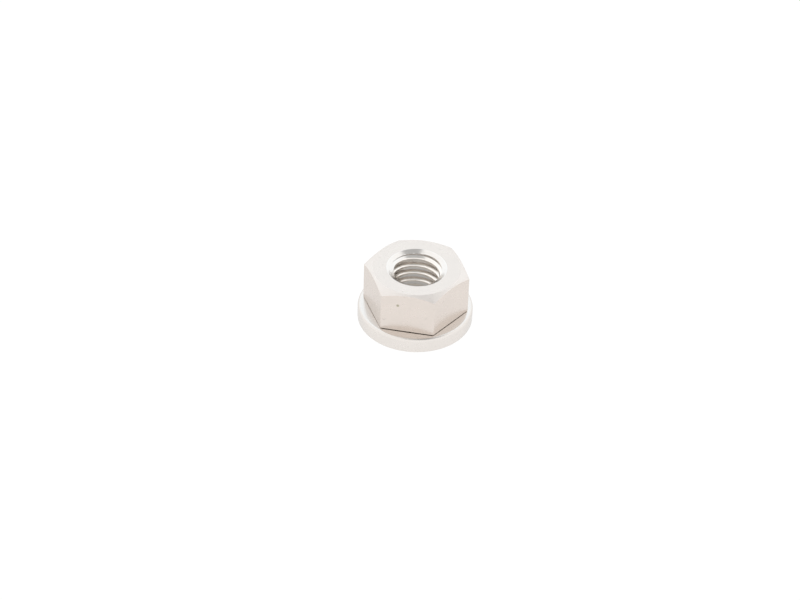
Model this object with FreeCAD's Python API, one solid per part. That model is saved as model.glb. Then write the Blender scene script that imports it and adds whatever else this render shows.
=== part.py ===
import FreeCAD, Part
import math
import os

# Hex nut with a captive flat washer, in mm. Z is up along the thread axis, z = 0 is the washer's
# bearing face, and two opposite hex corners lie on the X axis.

# Driving dimensions
ACROSS_FLATS = 10.0
HEX_HEIGHT = 4.9
THREAD_MAJOR = 6.0
THREAD_PITCH = 1.0
WASHER_DIAMETER = 12.5
WASHER_THICKNESS = 1.7

# Hexagon
TOP_CHAMFER_CIRCLE = 0.95 * ACROSS_FLATS
TOP_CHAMFER_ANGLE = 30.0
CHAMFER_CROWN = 0.02
PAD_DIAMETER = 0.9 * ACROSS_FLATS
PAD_HEIGHT = 0.05

# Thread, with the proportions of the ISO metric profile
THREAD_MINOR = THREAD_MAJOR - 1.0825 * THREAD_PITCH
FLANK_ANGLE = 30.0
ROOT_FLAT = THREAD_PITCH / 8.0
THREAD_START_ANGLE = 92.0
COUNTERSINK_DIAMETER = 6.5
COUNTERSINK_SLOPE = 35.0

# Collar that passes through the washer and is flared to keep it on
COLLAR_DIAMETER = 8.0
COLLAR_BOTTOM_Z = 0.3
LIP_DIAMETER = 8.7
LIP_EDGE_HEIGHT = 0.15
FLARE_START_Z = 1.0

# Washer, running free on the collar
RADIAL_CLEARANCE = 0.08
AXIAL_CLEARANCE = 0.02
TOP_EDGE_ROUND = 0.35
BOTTOM_EDGE_ROUND = 0.1
RECESS_DIAMETER = 9.4
RECESS_STRAIGHT_HEIGHT = 0.3

# Heights that follow from the sizes above
PAD_BOTTOM_Z = WASHER_THICKNESS + AXIAL_CLEARANCE
HEX_BASE_Z = PAD_BOTTOM_Z + PAD_HEIGHT
HEX_TOP_Z = HEX_BASE_Z + HEX_HEIGHT
OUTSIDE_RADIUS = 0.65 * ACROSS_FLATS


def save(shape, node):
    """Write one sub-part as its own STEP file."""
    os.makedirs("parts", exist_ok=True)
    shape.exportStep("parts/" + node + ".step")


def slope(run, angle):
    """Height gained over a horizontal run at an angle from the horizontal."""
    return run * math.tan(math.radians(angle))


def turned(outline):
    """Solid of revolution about Z from a closed outline of (radius, z) points."""
    corners = [FreeCAD.Vector(r, 0, z) for r, z in outline]
    wire = Part.makePolygon(corners + corners[:1])
    return Part.Face(wire).revolve(FreeCAD.Vector(0, 0, 0), FreeCAD.Vector(0, 0, 1), 360)


def hexagon_prism():
    """Plain hexagonal bar, corners on the X axis."""
    radius = ACROSS_FLATS / math.sqrt(3)
    corners = []
    for i in range(6):
        angle = math.radians(60 * i)
        corners.append(FreeCAD.Vector(radius * math.cos(angle), radius * math.sin(angle), HEX_BASE_Z))
    wire = Part.makePolygon(corners + corners[:1])
    return Part.Face(wire).extrude(FreeCAD.Vector(0, 0, HEX_HEIGHT))


def top_chamfer_envelope():
    """Turned shape, its chamfer very slightly crowned, that takes the six corners down at the top."""
    circle = TOP_CHAMFER_CIRCLE / 2
    run = OUTSIDE_RADIUS - circle
    drop = slope(run, TOP_CHAMFER_ANGLE)
    angle = math.radians(TOP_CHAMFER_ANGLE)
    top = FreeCAD.Vector(circle, 0, HEX_TOP_Z)
    low = FreeCAD.Vector(OUTSIDE_RADIUS, 0, HEX_TOP_Z - drop)
    outward = FreeCAD.Vector(math.sin(angle), 0, math.cos(angle))
    crown = (top + low) * 0.5 + outward * CHAMFER_CROWN
    corners = [
        low,
        FreeCAD.Vector(OUTSIDE_RADIUS, 0, HEX_BASE_Z - 1),
        FreeCAD.Vector(0, 0, HEX_BASE_Z - 1),
        FreeCAD.Vector(0, 0, HEX_TOP_Z),
        top,
    ]
    edges = [Part.LineSegment(a, b).toShape() for a, b in zip(corners, corners[1:])]
    edges.append(Part.Arc(top, crown, low).toShape())
    return Part.Face(Part.Wire(edges)).revolve(FreeCAD.Vector(0, 0, 0), FreeCAD.Vector(0, 0, 1), 360)


def pad_and_collar():
    """Round pad under the hexagon, and the collar below it with its flared lip."""
    outline = [
        (0, COLLAR_BOTTOM_Z),
        (LIP_DIAMETER / 2, COLLAR_BOTTOM_Z),
        (LIP_DIAMETER / 2, COLLAR_BOTTOM_Z + LIP_EDGE_HEIGHT),
        (COLLAR_DIAMETER / 2, FLARE_START_Z),
        (COLLAR_DIAMETER / 2, PAD_BOTTOM_Z),
        (PAD_DIAMETER / 2, PAD_BOTTOM_Z),
        (PAD_DIAMETER / 2, HEX_BASE_Z),
        (0, HEX_BASE_Z),
    ]
    return turned(outline)


def tapping_drill():
    """Hole at the thread's minor diameter, made as four quarter rounds."""
    up = FreeCAD.Vector(0, 0, 1)
    start = FreeCAD.Vector(0, 0, COLLAR_BOTTOM_Z - 1)
    length = HEX_TOP_Z - COLLAR_BOTTOM_Z + 2
    quarter = Part.makeCylinder(THREAD_MINOR / 2, length, start, up, 90)
    quarters = []
    for i in range(4):
        piece = quarter.copy()
        piece.rotate(FreeCAD.Vector(0, 0, 0), up, 90 * i)
        quarters.append(piece)
    return quarters[0].multiFuse(quarters[1:])


def countersink(mouth_z, way):
    """Cone at one mouth of the thread; way is +1 for the top and -1 for the bottom."""
    wide = COUNTERSINK_DIAMETER / 2
    narrow = THREAD_MINOR / 2 - 0.2
    outside = wide + 0.5
    outline = [
        (0, mouth_z - way * slope(wide - narrow, COUNTERSINK_SLOPE)),
        (narrow, mouth_z - way * slope(wide - narrow, COUNTERSINK_SLOPE)),
        (outside, mouth_z + way * slope(outside - wide, COUNTERSINK_SLOPE)),
        (0, mouth_z + way * slope(outside - wide, COUNTERSINK_SLOPE)),
    ]
    return turned(outline)


def groove_turn():
    """One turn of the thread's groove, as a helical sweep from the X axis at z = 0."""
    inside = THREAD_MINOR / 2 - 0.06
    outside = THREAD_MAJOR / 2
    root_half = ROOT_FLAT / 2
    mouth_half = root_half + slope(outside - inside, FLANK_ANGLE)
    corners = [
        FreeCAD.Vector(inside, 0, -mouth_half),
        FreeCAD.Vector(outside, 0, -root_half),
        FreeCAD.Vector(outside, 0, root_half),
        FreeCAD.Vector(inside, 0, mouth_half),
    ]
    profile = Part.makePolygon(corners + corners[:1])
    path = Part.makeHelix(THREAD_PITCH, THREAD_PITCH, outside)
    return Part.Wire(path.Edges).makePipeShell([profile], True, True)


def thread_turns():
    """Right-hand groove, one solid to a turn, run past both mouths of the hole."""
    turn = groove_turn()
    turn.rotate(FreeCAD.Vector(0, 0, 0), FreeCAD.Vector(0, 0, 1), THREAD_START_ANGLE)
    start_z = COLLAR_BOTTOM_Z - THREAD_PITCH
    count = math.ceil((HEX_TOP_Z - start_z) / THREAD_PITCH) + 1
    turns = []
    for i in range(count):
        piece = turn.copy()
        piece.translate(FreeCAD.Vector(0, 0, start_z + THREAD_PITCH * i))
        turns.append(piece)
    return turns


def nut_body():
    """Hexagon, pad and collar with the tapped hole through them."""
    body = hexagon_prism().common(top_chamfer_envelope())
    body = body.fuse(pad_and_collar())
    body = body.removeSplitter()
    body = body.cut(tapping_drill())
    body = body.cut(countersink(HEX_TOP_Z, 1))
    body = body.cut(countersink(COLLAR_BOTTOM_Z, -1))
    for turn in thread_turns():
        body = body.cut(turn)
    return body.Solids[0]


def captive_washer():
    """Flat washer with rounded outer edges and a recess below for the collar's lip."""
    bore = COLLAR_DIAMETER / 2 + RADIAL_CLEARANCE
    rim = WASHER_DIAMETER / 2
    recess = RECESS_DIAMETER / 2
    outline = [
        (bore, WASHER_THICKNESS),
        (bore, FLARE_START_Z),
        (recess, RECESS_STRAIGHT_HEIGHT),
        (recess, 0),
        (rim, 0),
        (rim, WASHER_THICKNESS),
    ]
    washer = turned(outline)
    rim_edges = outer_edges(washer, rim)
    washer = washer.makeFillet(BOTTOM_EDGE_ROUND, [e for e in rim_edges if e.BoundBox.ZMax < 0.01])
    rim_edges = outer_edges(washer, rim)
    return washer.makeFillet(TOP_EDGE_ROUND, [e for e in rim_edges if e.BoundBox.ZMin > WASHER_THICKNESS - 0.01])


def outer_edges(shape, radius):
    """Circular edges at a radius from the axis."""
    found = []
    for edge in shape.Edges:
        if hasattr(edge.Curve, "Radius") and abs(edge.Curve.Radius - radius) < 0.01:
            found.append(edge)
    return found


save(nut_body(), "nut_body")
save(captive_washer(), "captive_washer")
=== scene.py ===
import math

import bpy
import bmesh
from mathutils import Matrix, Vector


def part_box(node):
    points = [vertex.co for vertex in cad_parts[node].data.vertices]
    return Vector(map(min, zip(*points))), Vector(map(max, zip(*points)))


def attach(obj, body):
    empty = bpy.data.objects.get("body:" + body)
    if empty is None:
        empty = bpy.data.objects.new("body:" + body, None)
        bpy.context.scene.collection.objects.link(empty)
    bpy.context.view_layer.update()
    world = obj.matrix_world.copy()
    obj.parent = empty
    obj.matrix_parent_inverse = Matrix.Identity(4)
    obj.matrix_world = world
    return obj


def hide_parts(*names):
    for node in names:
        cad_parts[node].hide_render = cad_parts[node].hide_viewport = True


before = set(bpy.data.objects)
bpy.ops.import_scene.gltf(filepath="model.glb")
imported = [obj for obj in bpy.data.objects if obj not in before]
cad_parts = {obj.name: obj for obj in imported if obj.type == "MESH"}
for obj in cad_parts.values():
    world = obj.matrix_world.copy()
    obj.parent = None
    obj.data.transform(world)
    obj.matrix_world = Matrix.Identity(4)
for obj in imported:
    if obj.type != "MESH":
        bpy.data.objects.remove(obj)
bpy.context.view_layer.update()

MM = 0.001

# Boxes of the two CAD nodes, which give the places and the outside sizes
NUT_LOW, NUT_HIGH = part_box("nut_body")
WASHER_LOW, WASHER_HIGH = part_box("captive_washer")

# Hexagon and the pad below it
FLATS = NUT_HIGH[1] - NUT_LOW[1]
HEX_HEIGHT = 0.49 * FLATS
TOP_CIRCLE_R = 0.475 * FLATS
TOP_CHAMFER = math.radians(30)
CORNER_ROUND = 0.12 * MM
PAD_R = 0.45 * FLATS
PAD_HEIGHT = 0.05 * MM

# Thread: flat-sided grooves with a rounded crest and a root shallower than the CAD's
PITCH = 1.0 * MM
THREAD_MAJOR_R = 3.0 * MM
THREAD_MINOR_R = THREAD_MAJOR_R - 0.54125 * PITCH
CREST_ROUND = 0.2165 * PITCH
THREAD_ROOT_R = THREAD_MAJOR_R - 0.18 * PITCH
THREAD_START = math.radians(92)
THREAD_FLANK = math.radians(60)

# Rows of the thread's mesh: about where the root and the crest end, as shares of a pitch, and the
# number of rows from each of these places to the next
ROOT_EDGE = 0.166
CREST_EDGE = 0.31
SHARE_EDGES = [0, ROOT_EDGE, CREST_EDGE, 0.5, 1 - CREST_EDGE, 1 - ROOT_EDGE, 1]
SHARE_STEPS = [3, 4, 7, 7, 4, 3]
ROWS_PER_PITCH = sum(SHARE_STEPS)

# Countersinks. The turned outside meets the thread's mesh a little inside each mouth.
COUNTERSINK_R = 3.25 * MM
COUNTERSINK_SLOPE = math.radians(35)
CONE_DEPTH = (COUNTERSINK_R - THREAD_MINOR_R) * math.tan(COUNTERSINK_SLOPE)
SEAM_DEPTH = 0.1 * MM

# Collar and its flared lip
COLLAR_R = 4.0 * MM
LIP_R = 4.35 * MM
LIP_EDGE = 0.15 * MM
FLARE_RISE = 0.7 * MM

# Heights of the nut
BOTTOM_Z = NUT_LOW[2]
TOP_Z = NUT_HIGH[2]
HEX_BASE_Z = TOP_Z - HEX_HEIGHT
PAD_BOTTOM_Z = HEX_BASE_Z - PAD_HEIGHT

# Washer, running free on the collar
WASHER_R = WASHER_HIGH[0]
WASHER_BOTTOM_Z = WASHER_LOW[2]
WASHER_TOP_Z = WASHER_HIGH[2]
WASHER_BORE_R = COLLAR_R + 0.08 * MM
WASHER_BORE_FOOT_Z = BOTTOM_Z + FLARE_RISE
RECESS_R = 4.7 * MM
RECESS_HEIGHT = 0.3 * MM

# Where the washer's outline starts and ends, on the wall of its bore
OUTLINE_START_Z = 1.2 * MM
OUTLINE_END_Z = 1.1 * MM

# How finely the surfaces are divided, and the bend above which an edge is drawn sharp
CORNER_STEPS = 8
FLAT_STEPS = 20
ROUND_STEPS = 4
WASHER_COLUMNS = 240
SHARP_ANGLE = math.radians(35)

# Stage
FLOOR_HALF = 0.6
FLOOR_GAP = 0.01 * MM
CAMERA_AZIMUTH = math.radians(9.64)
CAMERA_ELEVATION = math.radians(38.98)
CAMERA_ROLL = math.radians(2.07)
CAMERA_DISTANCE = 27.118 * FLATS
CAMERA_TARGET_Z = 0.171 * FLATS
CAMERA_SHIFT_RIGHT = -0.1661 * FLATS
CAMERA_SHIFT_UP = 0.0358 * FLATS
CAMERA_LENS_MM = 112.5
CAMERA_SENSOR_MM = 36

# Surroundings: one even brightness, and soft round patches on it. A patch is azimuth, elevation,
# inner and outer angle in degrees, and the change in brightness.
TENT = 1.10
BACK_LIGHT = (190, 42, 10, 55, 0.10)
FRONT_SHADE = (5, 38, 20, 60, -0.03)
OVERHEAD_SHADE = (60, 76, 18, 25, -0.58)
PATCHES = [BACK_LIGHT, FRONT_SHADE, OVERHEAD_SHADE]
WHITE = (1.0, 1.0, 1.0)
COOL_BACK = (0.955, 1.02, 1.07)

# Floor: its own light, the spread of it through the paper, and the share left under the bore, where a darker
# disc of painted shade lies
FLOOR_GLOW = 0.93
FLOOR_GLOW_SPREAD = 0.005
BORE_SHADE_GLOW = 0.4

# Small stain left of the middle of the front flat
STAIN_PLACE = (-0.107 * FLATS, -0.5 * FLATS, HEX_BASE_Z + 0.69 * HEX_HEIGHT)
STAIN_R = 0.22 * MM

# Steel: reflected colour and roughness of each surface
NUT_COLOUR = (0.762, 0.692, 0.638)
CHAMFER_COLOUR = (0.84, 0.79, 0.75)
CONE_COLOUR = (0.86, 0.83, 0.80)
THREAD_COLOUR = (0.91, 0.87, 0.825)
WASHER_COLOUR = (0.80, 0.757, 0.718)
STAIN_COLOUR = (0.42, 0.39, 0.29)
OUTSIDE_ROUGHNESS = 0.25
BORE_ROUGHNESS = 0.15
CHAMFER_ROUGHNESS = 0.5
EDGE_TINT = (0.88, 0.88, 0.88, 1)
BORE_EDGE_R = COUNTERSINK_R + 0.03 * MM

# Surface marks: how far the colour clouds, the rings' spacing and wobble, and the marks' heights
CLOUD_SPREAD = 0.04
RING_SPACING = 0.07 * MM
RING_WOBBLE = 6
RING_HEIGHT = 0.0006 * MM
GRAIN_HEIGHT = 0.003 * MM
PIT_DEPTH = 0.006 * MM


# Shape helpers

def rounded(points, radii):
    """Outline with each inner corner turned into an arc of its own radius."""
    out = [points[0]]
    for before, corner, after, radius in zip(points, points[1:], points[2:], radii):
        a = (Vector(before) - Vector(corner)).normalized()
        b = (Vector(after) - Vector(corner)).normalized()
        half = a.angle(b) / 2
        reach = radius / math.tan(half)
        centre = Vector(corner) + (a + b).normalized() * (radius / math.sin(half))
        start = Vector(corner) + a * reach - centre
        end = Vector(corner) + b * reach - centre
        turn = start.angle(end)
        for i in range(ROUND_STEPS + 1):
            t = i / ROUND_STEPS
            spoke = (start * math.sin((1 - t) * turn) + end * math.sin(t * turn)) / math.sin(turn)
            out.append(tuple(centre + spoke))
    out.append(points[-1])
    return out


def hexagon_columns():
    """(angle, radius) all round the hexagon's outline, corners on X and slightly rounded."""
    apothem = FLATS / 2
    inner_corner = (apothem - CORNER_ROUND) / math.cos(math.radians(30))
    outline = []
    for side in range(6):
        turn = math.radians(60 * side)
        centre = Vector((inner_corner * math.cos(turn), inner_corner * math.sin(turn)))
        arc = []
        for i in range(CORNER_STEPS + 1):
            a = turn + math.radians(-30 + 60 * i / CORNER_STEPS)
            arc.append(centre + CORNER_ROUND * Vector((math.cos(a), math.sin(a))))
        outline += arc
        next_turn = turn + math.radians(60)
        next_centre = inner_corner * Vector((math.cos(next_turn), math.sin(next_turn)))
        a = turn + math.radians(30)
        flat_end = next_centre + CORNER_ROUND * Vector((math.cos(a), math.sin(a)))
        for i in range(1, FLAT_STEPS):
            outline.append(arc[-1].lerp(flat_end, i / FLAT_STEPS))
    start = math.radians(-30)
    columns = []
    for point in outline:
        angle = (math.atan2(point.y, point.x) - start) % (2 * math.pi) + start
        columns.append((angle, point.length))
    return sorted(columns)


def round_columns(count):
    """(angle, 1) for each column of a turned part, whose radii come from its profile alone."""
    return [(2 * math.pi * i / count, 1.0) for i in range(count)]


def add_ring_grid(bm, columns, profile_at, closed):
    """Quads between neighbouring columns; profile_at gives each column's (radius, z) points."""
    grid = []
    for angle, radius in columns:
        line = []
        for r, z in profile_at(radius):
            line.append(bm.verts.new((r * math.cos(angle), r * math.sin(angle), z)))
        grid.append(line)
    rows = len(grid[0])
    for j, line in enumerate(grid):
        other = grid[(j + 1) % len(grid)]
        for i in range(rows if closed else rows - 1):
            k = (i + 1) % rows
            bm.faces.new((line[i], other[i], other[k], line[k]))


def thread_radius(share):
    """Radius of the thread at a share of one pitch: a flat root, two flanks and a rounded crest."""
    from_crest = abs((share % 1.0) - 0.5) * PITCH
    apex_r = THREAD_MINOR_R - CREST_ROUND
    arc_half = CREST_ROUND * math.sin(THREAD_FLANK)
    if from_crest < arc_half:
        return THREAD_MINOR_R + CREST_ROUND - math.sqrt(CREST_ROUND ** 2 - from_crest ** 2)
    return min(apex_r + from_crest * math.tan(THREAD_FLANK), THREAD_ROOT_R)


def thread_shares():
    """Row places within a pitch, with rows beside the edges of the crest and the root."""
    shares = []
    for low, high, count in zip(SHARE_EDGES, SHARE_EDGES[1:], SHARE_STEPS):
        for i in range(count):
            shares.append(low + (high - low) * i / count)
    return shares


def countersink_radius(depth):
    """Radius of the countersink's cone at a depth below its mouth."""
    return COUNTERSINK_R - depth / math.tan(COUNTERSINK_SLOPE)


def cone_radius(z):
    """Radius of the nearer countersink at a height; it is small between the two cones."""
    return max(countersink_radius(TOP_Z - z), countersink_radius(z - BOTTOM_Z))


def thread_column(angle, low, high):
    """(radius, z) points of the thread alone in one column, each row following the helix."""
    start = BOTTOM_Z - 2 * PITCH
    count = int(ROWS_PER_PITCH * ((high - start) / PITCH + 1.5))
    shares = thread_shares()
    points = []
    for i in range(count):
        turn, row = divmod(i, ROWS_PER_PITCH)
        z = start + PITCH * (turn + shares[row] + (angle - THREAD_START) / (2 * math.pi))
        points.append((thread_radius(shares[row]), min(max(z, low), high)))
    return points


def opened_by_cones(points):
    """Column widened by the countersinks, with a point moved to each place where a cone begins."""
    gaps = [r - cone_radius(z) for r, z in points]
    out = [(max(r, cone_radius(z)), z) for r, z in points]
    for i in range(len(points) - 1):
        if gaps[i] * gaps[i + 1] < 0:
            t = gaps[i] / (gaps[i] - gaps[i + 1])
            z = points[i][1] + t * (points[i + 1][1] - points[i][1])
            out[i if t < 0.5 else i + 1] = (cone_radius(z), z)
    return out


def add_thread_grid(bm, columns, low, high):
    """Wall of the tapped hole between two heights; its last column meets the first a turn higher."""
    grid = []
    for angle, _ in columns:
        line = []
        for r, z in opened_by_cones(thread_column(angle, low, high)):
            line.append(bm.verts.new((r * math.cos(angle), r * math.sin(angle), z)))
        grid.append(line)
    for j, line in enumerate(grid):
        last = j == len(grid) - 1
        other = grid[0][ROWS_PER_PITCH:] if last else grid[j + 1]
        for i in range(min(len(line), len(other)) - 1):
            bm.faces.new((line[i], line[i + 1], other[i + 1], other[i]))


def mesh_object(name, bm):
    """Clean the mesh, mark its sharp edges and make an object of it."""
    bmesh.ops.remove_doubles(bm, verts=bm.verts, dist=1e-4 * MM)
    bmesh.ops.recalc_face_normals(bm, faces=bm.faces)
    for face in bm.faces:
        face.smooth = True
    for edge in bm.edges:
        if len(edge.link_faces) == 2 and edge.calc_face_angle(0) > SHARP_ANGLE:
            edge.smooth = False
    mesh = bpy.data.meshes.new(name)
    bm.to_mesh(mesh)
    bm.free()
    obj = bpy.data.objects.new(name, mesh)
    bpy.context.scene.collection.objects.link(obj)
    normals = obj.modifiers.new("even_shading", "WEIGHTED_NORMAL")
    normals.keep_sharp = True
    return obj


# Pieces

def nut_profile(radius):
    """(radius, z) points of the nut's outside in one column, from the lower mouth to the upper one."""
    drop = (radius - TOP_CIRCLE_R) * math.tan(TOP_CHAMFER)
    points = [
        (countersink_radius(SEAM_DEPTH), BOTTOM_Z + SEAM_DEPTH),
        (COUNTERSINK_R, BOTTOM_Z),
        (LIP_R, BOTTOM_Z),
        (LIP_R, BOTTOM_Z + LIP_EDGE),
        (COLLAR_R, BOTTOM_Z + FLARE_RISE),
        (COLLAR_R, PAD_BOTTOM_Z),
        (PAD_R, PAD_BOTTOM_Z),
        (PAD_R, HEX_BASE_Z),
        (radius, HEX_BASE_Z),
        (radius, TOP_Z - drop),
        (TOP_CIRCLE_R, TOP_Z),
        (COUNTERSINK_R, TOP_Z),
        (countersink_radius(SEAM_DEPTH), TOP_Z - SEAM_DEPTH),
    ]
    rounds = [0.02, 0.05, 0.03, 0.05, 0.05, 0.015, 0.015, 0.03, 0.04, 0.12, 0.03]
    return rounded(points, [r * MM for r in rounds])


def build_nut():
    """The hexagon with its pad, collar and tapped hole."""
    bm = bmesh.new()
    columns = hexagon_columns()
    add_ring_grid(bm, columns, nut_profile, closed=False)
    add_thread_grid(bm, columns, BOTTOM_Z + SEAM_DEPTH, TOP_Z - SEAM_DEPTH)
    return mesh_object("nut", bm)


def washer_profile(_):
    """(radius, z) points round the washer's section, the same in every column."""
    points = [
        (WASHER_BORE_R, OUTLINE_START_Z),
        (WASHER_BORE_R, WASHER_TOP_Z),
        (WASHER_R, WASHER_TOP_Z),
        (WASHER_R, WASHER_BOTTOM_Z),
        (RECESS_R, WASHER_BOTTOM_Z),
        (RECESS_R, RECESS_HEIGHT),
        (WASHER_BORE_R, WASHER_BORE_FOOT_Z),
        (WASHER_BORE_R, OUTLINE_END_Z),
    ]
    rounds = [0.03, 0.35, 0.1, 0.03, 0.03, 0.05]
    return rounded(points, [r * MM for r in rounds])


def build_washer():
    """The flat washer that turns on the nut's collar."""
    bm = bmesh.new()
    add_ring_grid(bm, round_columns(WASHER_COLUMNS), washer_profile, closed=True)
    return mesh_object("washer", bm)


# Materials

def new_material(name):
    """Empty node material with a Principled shader."""
    material = bpy.data.materials.new(name)
    material.use_nodes = True
    nodes = material.node_tree.nodes
    nodes.clear()
    shader = nodes.new("ShaderNodeBsdfPrincipled")
    output = nodes.new("ShaderNodeOutputMaterial")
    material.node_tree.links.new(shader.outputs["BSDF"], output.inputs["Surface"])
    return material, nodes, material.node_tree.links, shader


def new_steel(name):
    """Bare metal material, its colour, roughness and marks still to be set."""
    material, nodes, links, shader = new_material(name)
    shader.inputs["Metallic"].default_value = 1.0
    shader.inputs["Specular Tint"].default_value = EDGE_TINT
    return material, nodes, links, shader


def scaled_place(nodes, links, scale):
    """Object coordinates stretched by a scale on each axis."""
    place = nodes.new("ShaderNodeTexCoord")
    stretch = nodes.new("ShaderNodeVectorMath")
    stretch.operation = "MULTIPLY"
    stretch.inputs[1].default_value = scale
    links.new(place.outputs["Object"], stretch.inputs[0])
    return stretch.outputs["Vector"]


def noise(nodes, links, scale, detail):
    """Noise in object space, its grain set by a scale on each axis."""
    texture = nodes.new("ShaderNodeTexNoise")
    texture.inputs["Scale"].default_value = 1
    texture.inputs["Detail"].default_value = detail
    links.new(scaled_place(nodes, links, scale), texture.inputs["Vector"])
    return texture.outputs["Fac"]


def from_axis(nodes, links):
    """Distance from the thread axis."""
    length = nodes.new("ShaderNodeVectorMath")
    length.operation = "LENGTH"
    links.new(scaled_place(nodes, links, (1, 1, 0)), length.inputs[0])
    return length.outputs["Value"]


def fade(nodes, links, value, low, high, start=0.0, end=1.0):
    """Value mapped from low..high to start..end, held at both ends."""
    step = nodes.new("ShaderNodeMapRange")
    step.inputs["From Min"].default_value = low
    step.inputs["From Max"].default_value = high
    step.inputs["To Min"].default_value = start
    step.inputs["To Max"].default_value = end
    links.new(value, step.inputs["Value"])
    return step.outputs["Result"]


def combine(nodes, links, operation, a, b):
    """Math node on two sockets, or on a socket and a number."""
    node = nodes.new("ShaderNodeMath")
    node.operation = operation
    for value, socket in ((a, node.inputs[0]), (b, node.inputs[1])):
        if isinstance(value, (int, float)):
            socket.default_value = value
        else:
            links.new(value, socket)
    return node.outputs["Value"]


def mix_colour(nodes, links, factor, a, b):
    """Blend of two colours, each a socket or a value."""
    mix = nodes.new("ShaderNodeMix")
    mix.data_type = "RGBA"
    links.new(factor, mix.inputs["Factor"])
    for value, socket in ((a, mix.inputs[6]), (b, mix.inputs[7])):
        if isinstance(value, tuple):
            socket.default_value = value + (1,)
        else:
            links.new(value, socket)
    return mix.outputs[2]


def shaded(colour, level):
    """Colour made lighter or darker."""
    return tuple(min(c * level, 1) for c in colour)


def clouded(nodes, links, cloud, colour):
    """Colour that is a little darker and lighter from place to place."""
    return mix_colour(nodes, links, cloud, shaded(colour, 1 - CLOUD_SPREAD), shaded(colour, 1 + CLOUD_SPREAD))


def add_bump(nodes, links, height, distance, before):
    """Bump of a height socket on top of an earlier normal."""
    bump = nodes.new("ShaderNodeBump")
    bump.inputs["Strength"].default_value = 1.0
    bump.inputs["Distance"].default_value = distance
    links.new(height, bump.inputs["Height"])
    if before is not None:
        links.new(before, bump.inputs["Normal"])
    return bump.outputs["Normal"]


def turning_marks(nodes, links):
    """Fine rings about the axis, as a lathe leaves them."""
    radius = from_axis(nodes, links)
    wobble = noise(nodes, links, (500, 500, 500), 2)
    phase = combine(nodes, links, "MULTIPLY", radius, 2 * math.pi / RING_SPACING)
    phase = combine(nodes, links, "ADD", phase, combine(nodes, links, "MULTIPLY", wobble, RING_WOBBLE))
    return combine(nodes, links, "SINE", phase, 0)


def upward(nodes, links):
    """Vertical part of the surface's direction: 1 on a top face, 0 on an upright one."""
    place = nodes.new("ShaderNodeTexCoord")
    split = nodes.new("ShaderNodeSeparateXYZ")
    links.new(place.outputs["Normal"], split.inputs["Vector"])
    return split.outputs["Z"]


def facing_up(nodes, links):
    """1 on faces that look along the axis, 0 on upright ones."""
    level = combine(nodes, links, "ABSOLUTE", upward(nodes, links), 0)
    return fade(nodes, links, level, 0.3, 0.7)


def chamfer_mask(nodes, links):
    """1 on the turned chamfer of the hexagon's top, 0 on its flats and top face."""
    tilt = combine(nodes, links, "SUBTRACT", upward(nodes, links), math.cos(TOP_CHAMFER))
    near = fade(nodes, links, combine(nodes, links, "ABSOLUTE", tilt, 0), 0.03, 0.09, 1, 0)
    outside = fade(nodes, links, from_axis(nodes, links), BORE_EDGE_R, BORE_EDGE_R + 0.1 * MM)
    return combine(nodes, links, "MULTIPLY", near, outside)


def cone_mask(nodes, links):
    """1 from the foot of the upper countersink upwards, 0 below it."""
    place = nodes.new("ShaderNodeSeparateXYZ")
    links.new(scaled_place(nodes, links, (1, 1, 1)), place.inputs["Vector"])
    foot = TOP_Z - CONE_DEPTH
    return fade(nodes, links, place.outputs["Z"], foot - 0.05 * MM, foot)


def pits(nodes, links, density):
    """Sparse tiny pits: 1 in a pit, 0 elsewhere."""
    grain = noise(nodes, links, (3500, 3500, 3500), 1)
    return fade(nodes, links, grain, 0.72 - density, 0.78 - density)


def stain(nodes, links):
    """1 within the small stain on the front flat."""
    place = nodes.new("ShaderNodeTexCoord")
    gap = nodes.new("ShaderNodeVectorMath")
    gap.operation = "DISTANCE"
    gap.inputs[1].default_value = STAIN_PLACE
    links.new(place.outputs["Object"], gap.inputs[0])
    return fade(nodes, links, gap.outputs["Value"], 0.3 * STAIN_R, STAIN_R, 1, 0)


def satin_roughness(nodes, links, cloud):
    """Roughness of the outside, uneven as a cloud texture says."""
    return fade(nodes, links, cloud, 0.3, 0.7, OUTSIDE_ROUGHNESS - 0.04, OUTSIDE_ROUGHNESS + 0.05)


def nut_colour(nodes, links, cloud, pit, on_chamfer, in_bore):
    """Warm outside, lighter chamfer, countersink and thread, then the pits and the stain."""
    outside = clouded(nodes, links, cloud, NUT_COLOUR)
    outside = mix_colour(nodes, links, on_chamfer, outside, CHAMFER_COLOUR)
    bore = mix_colour(nodes, links, cone_mask(nodes, links), THREAD_COLOUR, CONE_COLOUR)
    colour = mix_colour(nodes, links, in_bore, outside, bore)
    colour = mix_colour(nodes, links, pit, colour, shaded(NUT_COLOUR, 0.87))
    return mix_colour(nodes, links, stain(nodes, links), colour, STAIN_COLOUR)


def nut_roughness(nodes, links, cloud, on_chamfer, in_bore):
    """Satin outside, smoother bore and duller chamfer."""
    rough = satin_roughness(nodes, links, cloud)
    bright = combine(nodes, links, "MULTIPLY", in_bore, BORE_ROUGHNESS - OUTSIDE_ROUGHNESS)
    rough = combine(nodes, links, "ADD", rough, bright)
    dull = combine(nodes, links, "MULTIPLY", on_chamfer, CHAMFER_ROUGHNESS - OUTSIDE_ROUGHNESS)
    return combine(nodes, links, "ADD", rough, dull)


def nut_marks(nodes, links, pit):
    """Lathe rings on level faces, lengthwise grain on all of them, and the pits."""
    rings = combine(nodes, links, "MULTIPLY", turning_marks(nodes, links), facing_up(nodes, links))
    drawn = noise(nodes, links, (14000, 14000, 350), 3)
    normal = add_bump(nodes, links, rings, RING_HEIGHT, None)
    normal = add_bump(nodes, links, drawn, GRAIN_HEIGHT, normal)
    return add_bump(nodes, links, combine(nodes, links, "MULTIPLY", pit, -1), PIT_DEPTH, normal)


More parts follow.
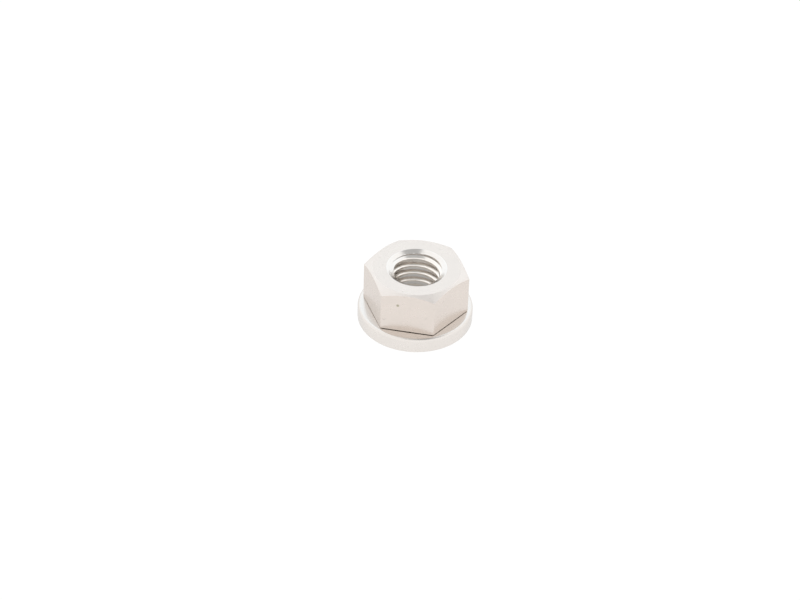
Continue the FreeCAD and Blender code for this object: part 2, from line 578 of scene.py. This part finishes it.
def nut_steel():
    """Satin turned steel, brighter and smoother where the bore was cut."""
    material, nodes, links, shader = new_steel("nut_steel_satin")
    cloud = noise(nodes, links, (700, 700, 700), 5)
    pit = pits(nodes, links, 0.0)
    on_chamfer = chamfer_mask(nodes, links)
    in_bore = fade(nodes, links, from_axis(nodes, links), BORE_EDGE_R - 0.02 * MM, BORE_EDGE_R, 1, 0)
    colour = nut_colour(nodes, links, cloud, pit, on_chamfer, in_bore)
    links.new(colour, shader.inputs["Base Color"])
    rough = nut_roughness(nodes, links, cloud, on_chamfer, in_bore)
    links.new(rough, shader.inputs["Roughness"])
    links.new(nut_marks(nodes, links, pit), shader.inputs["Normal"])
    return material


def washer_steel():
    """Stamped and tumbled steel, with a fine even grain."""
    material, nodes, links, shader = new_steel("washer_steel_satin")
    cloud = noise(nodes, links, (600, 600, 600), 5)
    colour = clouded(nodes, links, cloud, WASHER_COLOUR)
    pit = pits(nodes, links, 0.01)
    colour = mix_colour(nodes, links, pit, colour, shaded(WASHER_COLOUR, 0.9))
    links.new(colour, shader.inputs["Base Color"])
    links.new(satin_roughness(nodes, links, cloud), shader.inputs["Roughness"])
    grain = noise(nodes, links, (9000, 9000, 9000), 4)
    normal = add_bump(nodes, links, grain, GRAIN_HEIGHT, None)
    normal = add_bump(nodes, links, combine(nodes, links, "MULTIPLY", pit, -1), PIT_DEPTH, normal)
    links.new(normal, shader.inputs["Normal"])
    return material


def floor_material():
    """Back-lit white paper, with less light of its own under the bore: a painted shade there."""
    material, nodes, links, shader = new_material("floor_paper")
    fibre = noise(nodes, links, (400, 400, 400), 3)
    low = FLOOR_GLOW - FLOOR_GLOW_SPREAD
    high = FLOOR_GLOW + FLOOR_GLOW_SPREAD
    glow = fade(nodes, links, fibre, 0.2, 0.8, low, high)
    # Painted shade: under the bore the floor's glow falls to a share of itself, back to full at the collar's
    # radius.
    clear = fade(nodes, links, from_axis(nodes, links), THREAD_MAJOR_R, COLLAR_R, BORE_SHADE_GLOW, 1)
    links.new(combine(nodes, links, "MULTIPLY", glow, clear), shader.inputs["Emission Strength"])
    shader.inputs["Emission Color"].default_value = (1, 1, 1, 1)
    shader.inputs["Base Color"].default_value = (0.1, 0.1, 0.1, 1)
    shader.inputs["Roughness"].default_value = 0.9
    shader.inputs["Specular IOR Level"].default_value = 0.0
    return material


# Stage

def build_floor():
    """Plain pale floor under the washer."""
    mesh = bpy.data.meshes.new("floor")
    half = FLOOR_HALF
    corners = [(-half, -half, 0), (half, -half, 0), (half, half, 0), (-half, half, 0)]
    mesh.from_pydata(corners, [], [(0, 1, 2, 3)])
    floor = bpy.data.objects.new("floor", mesh)
    bpy.context.scene.collection.objects.link(floor)
    floor.location.z = WASHER_BOTTOM_Z - FLOOR_GAP
    mesh.materials.append(floor_material())


def aim(obj, fw, roll):
    """Turn an object's -Z along fw, rolled about it; return its right and up directions."""
    right = fw.cross(Vector((0, 0, 1))).normalized()
    up = right.cross(fw)
    turned_right = right * math.cos(roll) + up * math.sin(roll)
    turned_up = turned_right.cross(fw)
    obj.matrix_world = Matrix((turned_right, turned_up, -fw)).transposed().to_4x4()
    return turned_right, turned_up


def build_camera():
    """Camera at the photograph's angle: 39 degrees above, a little to the right of a flat."""
    fw = Vector((
        -math.sin(CAMERA_AZIMUTH) * math.cos(CAMERA_ELEVATION),
        math.cos(CAMERA_AZIMUTH) * math.cos(CAMERA_ELEVATION),
        -math.sin(CAMERA_ELEVATION),
    ))
    data = bpy.data.cameras.new("camera")
    data.lens = CAMERA_LENS_MM
    data.sensor_width = CAMERA_SENSOR_MM
    data.clip_start = 0.01
    data.clip_end = 10
    camera = bpy.data.objects.new("camera", data)
    bpy.context.scene.collection.objects.link(camera)
    right, up = aim(camera, fw, CAMERA_ROLL)
    centre = Vector((0, 0, CAMERA_TARGET_Z)) + CAMERA_SHIFT_RIGHT * right + CAMERA_SHIFT_UP * up
    camera.location = centre - CAMERA_DISTANCE * fw
    bpy.context.scene.camera = camera


def direction(azimuth, elevation):
    """Unit vector towards a place on the surroundings."""
    a, e = math.radians(azimuth), math.radians(elevation)
    return Vector((math.sin(a) * math.cos(e), -math.cos(a) * math.cos(e), math.sin(e)))


def nearness(nodes, links, towards):
    """Cosine of the angle between a view of the surroundings and a direction."""
    place = nodes.new("ShaderNodeTexCoord")
    dot = nodes.new("ShaderNodeVectorMath")
    dot.operation = "DOT_PRODUCT"
    dot.inputs[1].default_value = towards
    links.new(place.outputs["Generated"], dot.inputs[0])
    return dot.outputs["Value"]


def patch(nodes, links, azimuth, elevation, inner, outer, change):
    """Soft-edged round patch on the surroundings: change inside it, 0 outside."""
    near = nearness(nodes, links, direction(azimuth, elevation))
    step = nodes.new("ShaderNodeMapRange")
    step.interpolation_type = "SMOOTHSTEP"
    step.inputs["From Min"].default_value = math.cos(math.radians(outer))
    step.inputs["From Max"].default_value = math.cos(math.radians(inner))
    step.inputs["To Min"].default_value = 0
    step.inputs["To Max"].default_value = change
    links.new(near, step.inputs["Value"])
    return step.outputs["Result"]


def build_world():
    """White light tent, brighter and cooler behind the nut, and with a dark patch overhead."""
    world = bpy.data.worlds.new("tent")
    world.use_nodes = True
    nodes, links = world.node_tree.nodes, world.node_tree.links
    background = nodes["Background"]
    level = TENT
    for values in PATCHES:
        level = combine(nodes, links, "ADD", patch(nodes, links, *values), level)
    links.new(level, background.inputs["Strength"])
    azimuth, elevation, _, reach, _ = BACK_LIGHT
    near = nearness(nodes, links, direction(azimuth, elevation))
    near = fade(nodes, links, near, math.cos(math.radians(reach)), 1)
    links.new(mix_colour(nodes, links, near, WHITE, COOL_BACK), background.inputs["Color"])
    bpy.context.scene.world = world
    bpy.context.scene.view_settings.view_transform = "Standard"


nut = build_nut()
nut.data.materials.append(nut_steel())
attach(nut, "nut")
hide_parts("nut_body")

washer = build_washer()
washer.data.materials.append(washer_steel())
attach(washer, "washer")
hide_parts("captive_washer")

build_floor()
build_camera()
build_world()
